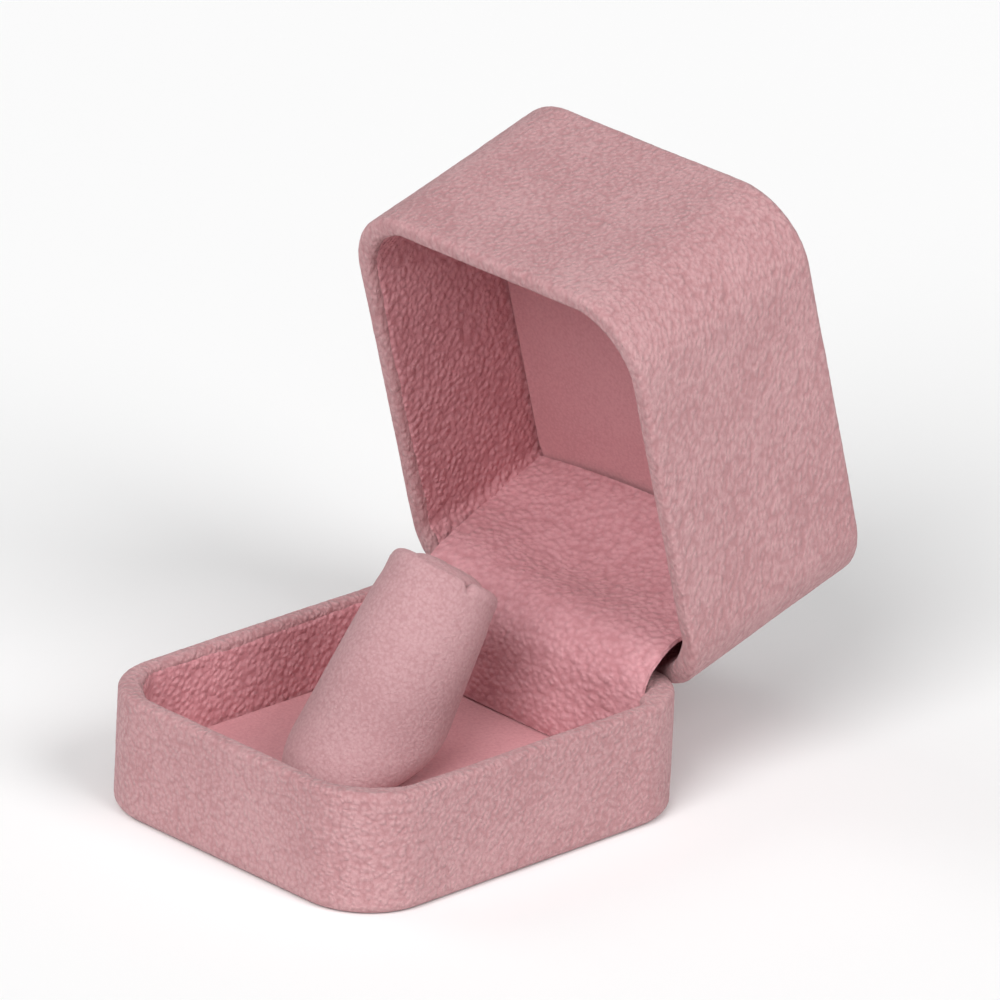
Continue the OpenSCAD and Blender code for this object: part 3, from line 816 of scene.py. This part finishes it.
def make_finger():
    k = (F_R1 - F_R2) / F_L
    n = 224
    th = np.linspace(0, 2 * math.pi, n, endpoint=False)
    roll = 1.25
    prof = [(F_R1 + k * 10, -10.0), (F_R2 + k * roll, F_L - roll)]
    prof += [(F_R2 - roll + roll * math.cos(a), F_L - roll + roll * math.sin(a)) for a in np.linspace(0.05, math.pi * 0.9, 12)]
    prof += [(F_R2 - 2 * roll - 0.02, F_L - roll - 0.2), (F_R2 - 2 * roll - 0.05, F_L - 2.2)]
    prof = resample(prof, 0.4)
    r, s = prof[:, 0], prof[:, 1]
    v = np.stack([r[None] * np.cos(th)[:, None], r[None] * np.sin(th)[:, None], np.repeat(s[None], n, 0)], -1)
    q = finger_frame(v)
    # foot: the sleeve tucks under all round before it meets the insert
    h = q[..., 2] - PAD_Z
    foot = 6.0
    t = np.clip((foot - h) / foot, 0, 1)
    tuck = -0.72 * foot * (1 - np.sqrt(np.clip(1 - t * t, 0, 1)))
    belly = 0.05 * np.exp(-((h - 6.5) / 3.0) ** 2) + 0.12 * np.sin(np.clip(v[..., 2] / F_L, 0, 1) * math.pi)
    waist = -0.12 * np.exp(-((v[..., 2] - (F_L - 3.4)) / 1.5) ** 2)
    rad = np.hypot(v[..., 0], v[..., 1])
    inside = (r[None] < F_R2 - roll) & (v[..., 2] > F_L - 3)
    grow = 1 + np.where(inside, 0, tuck + belly + waist) / np.maximum(rad, 1)
    # top edge: the raised fold, a slight tilt and one nick in the seam
    near_top = smooth01((v[..., 2] - (F_L - 2.2)) / 1.8)
    lip = finger_lip(th)[:, None]
    grow = grow + near_top * lip * 0.12 / np.maximum(rad, 1)
    az = (np.degrees(th) + 22 + 180) % 360 - 180
    nick = np.exp(-(az / 5.0) ** 2)[:, None]
    v[..., 0] *= grow
    v[..., 1] *= grow
    v[..., 2] += near_top * (0.32 * lip - 1.0 * nick + 0.08 * np.sin(3 * th + 1.0)[:, None])
    v = finger_frame(v)
    nm = grid_normals(v, True, False)
    rad = v[:, 20] - v[:, 20].mean(0)
    if (nm[:, 20] * rad).sum() < 0:
        nm = -nm
    v = cloth_relief(v, nm, np.ones(v.shape[:2]) * 0.8, 1.1, 0.016, 0.02)
    v[..., 2] = np.maximum(v[..., 2], 3.0)
    m = v.shape[1]
    faces = grid(n, m, True, False)
    faces.append(tuple(i * m for i in range(n)))
    faces.append(tuple(i * m + m - 1 for i in reversed(range(n))))
    o = new_object("finger_sleeve", v.reshape(-1, 3), faces)
    finish_piece(o, M_FINGER, "base", "finger_cloth", "finger_cover", "finger_core")
    # cap: a cloth disc that domes a little over its filling
    rows = []
    rc = F_R2 - 2 * roll + 0.35
    tc = th[::2]
    lipc = finger_lip(tc)
    for t in np.linspace(0, 1, 30):
        rr_ = rc * (1 - t)
        dome = F_L - 0.95 + 2.0 * math.sqrt(max(0.0, 1 - (1 - t) ** 3.2))
        rows.append(np.stack([rr_ * np.cos(tc), rr_ * np.sin(tc), np.full(len(tc), dome) + 0.35 * lipc * (1 - t)], 1))
    bottom = np.stack([rc * np.cos(tc), rc * np.sin(tc), np.full(len(tc), F_L - 1.6)], 1)
    v = finger_frame(np.stack([bottom] + rows, 1))
    nv = finger_frame(np.array([0, 0, 1.0])) - finger_frame(np.array([0, 0, 0.0]))
    nm = np.broadcast_to(nv, v.shape)
    wt = np.ones(v.shape[:2])
    wt[:, 0] = 0
    v = cloth_relief(v, nm, wt, 0.9, 0.02, 0.03)
    n2, m = v.shape[:2]
    v[:, -1] = v[:, -1].mean(0)
    flat = v.reshape(-1, 3)
    faces = []
    for i in range(n2):
        a, b = i * m, ((i + 1) % n2) * m
        for j in range(m - 1):
            faces.append((a + j, b + j, m - 1) if j == m - 2 else (a + j, b + j, b + j + 1, a + j + 1))
    faces.append(tuple(i * m for i in reversed(range(n2))))
    used = np.unique(np.concatenate([np.array(q_) for q_ in faces]))
    back = -np.ones(len(flat), int)
    back[used] = np.arange(len(used))
    o = new_object("finger_top", flat[used], [tuple(int(back[i]) for i in q_) for q_ in faces])
    finish_piece(o, M_FINGER, "base", "finger_cloth", "finger_cap")


# ------------------------------------------------------------------ strip over the hinge
def strip_path():
    def lid_pt(inn, d):
        q = opened(np.array([0, D / 2 - inn, LID_Z + d]))
        return (q[1], q[2])
    y = D / 2
    return [(y - 8.6, PAD_Z + 0.1), (y - 8.3, HB - 6.6), (y - 8.1, HB - 3.1), (y - 7.7, HB - 0.8), (y - 7.0, HB + 0.7),
            (y - 6.0, HB + 2.0), (y - 4.8, HB + 3.1), (y - 3.5, HB + 4.2), lid_pt(8.1, 1.3), lid_pt(8.2, 5.6),
            lid_pt(8.3, 11.9), lid_pt(9.2, 16.7), lid_pt(10.3, 22.05)]


def catmull(points, n_out):
    p = np.array(points, float)
    p = np.vstack([2 * p[0] - p[1], p, 2 * p[-1] - p[-2]])
    out = []
    for i in range(1, len(p) - 2):
        for t in np.linspace(0, 1, 20, endpoint=False):
            a, b, c, d = p[i - 1], p[i], p[i + 1], p[i + 2]
            out.append(0.5 * ((2 * b) + (-a + c) * t + (2 * a - 5 * b + 4 * c - d) * t * t + (-a + 3 * b - 3 * c + d) * t ** 3))
    out.append(p[-2])
    out = np.array(out)
    s = np.r_[0, np.cumsum(np.linalg.norm(np.diff(out, axis=0), axis=1))]
    u = np.linspace(0, s[-1], n_out)
    return np.stack([np.interp(u, s, out[:, 0]), np.interp(u, s, out[:, 1])], 1), s[-1]


STRIP_T = 0.62


def make_strip():
    path, length = catmull(strip_path(), 132)
    m = len(path)
    tan = np.gradient(path, axis=0)
    tan /= np.linalg.norm(tan, axis=1)[:, None]
    nrm = np.stack([-tan[:, 1], tan[:, 0]], 1)          # towards the front and up
    s = np.linspace(0, length, m)
    nx = 150
    xi = np.linspace(-1, 1, nx)
    # wider inside the lid and down in the base, narrower past the rims
    half = np.interp(s, [0, 7, 10.6, 14, 20, 26, 32, 42], [24.2, 23.6, 22.9, 22.5, 22.4, 23.5, 24.6, 24.7])
    X = xi[:, None] * half[None]
    S = np.repeat(s[None], nx, 0)
    # slack cloth: full where it turns over the hinge, hollow where it settles against the lid
    bump = 0.95 * np.exp(-((X - 10) / 13) ** 2 - ((S - 15.0) / 6.5) ** 2)
    bump += 0.7 * np.exp(-((X + 18) / 8) ** 2 - ((S - 21.5) / 6.5) ** 2)
    bump -= 1.6 * np.exp(-((X + 3) / 11) ** 2 - ((S - 26.0) / 5.0) ** 2)
    bump += 0.95 * np.exp(-((X - 9) / 13) ** 2 - ((S - 3.0) / 4.5) ** 2)
    bump += 0.25 * np.exp(-((X - 16) / 9) ** 2 - ((S - 31) / 4.0) ** 2)
    bump *= smooth01((S + 2.5) / 4.0) * smooth01((length - S) / 4.0)
    # its end stands away from the lid's rear wall in the middle and hugs the corners
    bump += (1.0 - 2.1 * (X / 24.0) ** 2) * smooth01((S - (length - 9.0)) / 9.0)
    # fine wrinkles along the hinge line
    wr = perlin(np.stack([X / 9.0, S / 1.5, 0 * X], -1).reshape(-1, 3)).reshape(X.shape)
    bump += 0.16 * wr * smooth01((S - 14) / 8.0) * smooth01((X + 4) / 14.0)
    mid = np.stack([X, path[None, :, 0] + nrm[None, :, 0] * bump, path[None, :, 1] + nrm[None, :, 1] * bump], -1)
    nm = grid_normals(mid, False, False)
    if (nm[nx // 2, m // 2, 1] * nrm[m // 2, 0] + nm[nx // 2, m // 2, 2] * nrm[m // 2, 1]) < 0:
        nm = -nm
    front = cloth_relief(mid + nm * STRIP_T / 2, nm, np.ones(mid.shape[:2]), 1.0, 0.055, 0.03)
    rear = mid - nm * STRIP_T / 2
    v = np.concatenate([front.reshape(-1, 3), rear.reshape(-1, 3)])
    q = grid(nx, m)
    off = nx * m
    faces = [tuple(f) for f in q] + [tuple(i + off for i in reversed(f)) for f in q]
    for i in range(nx - 1):
        a, b = i * m, (i + 1) * m
        faces.append((b, a, a + off, b + off))
        faces.append((a + m - 1, b + m - 1, b + m - 1 + off, a + m - 1 + off))
    for j in range(m - 1):
        faces.append((j, j + 1, j + 1 + off, j + off))
        a = (nx - 1) * m
        faces.append((a + j + 1, a + j, a + j + off, a + j + 1 + off))
    o = new_object("hinge_strip_cloth", v, faces)
    o.data.validate()
    o.data.set_sharp_from_angle(angle=math.radians(50))
    o.data.materials.append(M_STRIP)
    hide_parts("hinge_strip")
    y = D / 2
    a = np.array([0, y - 7.6, HB - 0.6])
    b = opened(np.array([0, y - 8.1, LID_Z + 1.6]))
    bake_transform(o)
    area = float(np.trapezoid(2 * half, s)) if hasattr(np, "trapezoid") else float(np.trapz(2 * half, s))
    return o


def fix_normals(o):
    import bmesh
    bm = bmesh.new()
    bm.from_mesh(o.data)
    bmesh.ops.recalc_face_normals(bm, faces=bm.faces)
    bm.to_mesh(o.data)
    bm.free()


make_base_cover()
make_base_lining()
make_lid_cover()
make_lid_lining()
o = make_pad("insert_pad", PAD_Z, 1.95, True, WALL + 0.2)
finish_piece(o, M_PAD, "base", "pad_cloth", "insert_cover", "insert_foam")
o = make_pad("lid_pad", LID_PAD, LID_PAD + 3.55, False, WALL + 0.2, body_open=True)
finish_piece(o, M_PAD, "lid", "pad_cloth", "lid_pad_cover", "lid_pad_foam")
make_finger()
make_strip()
for o in MADE:
    fix_normals(o)
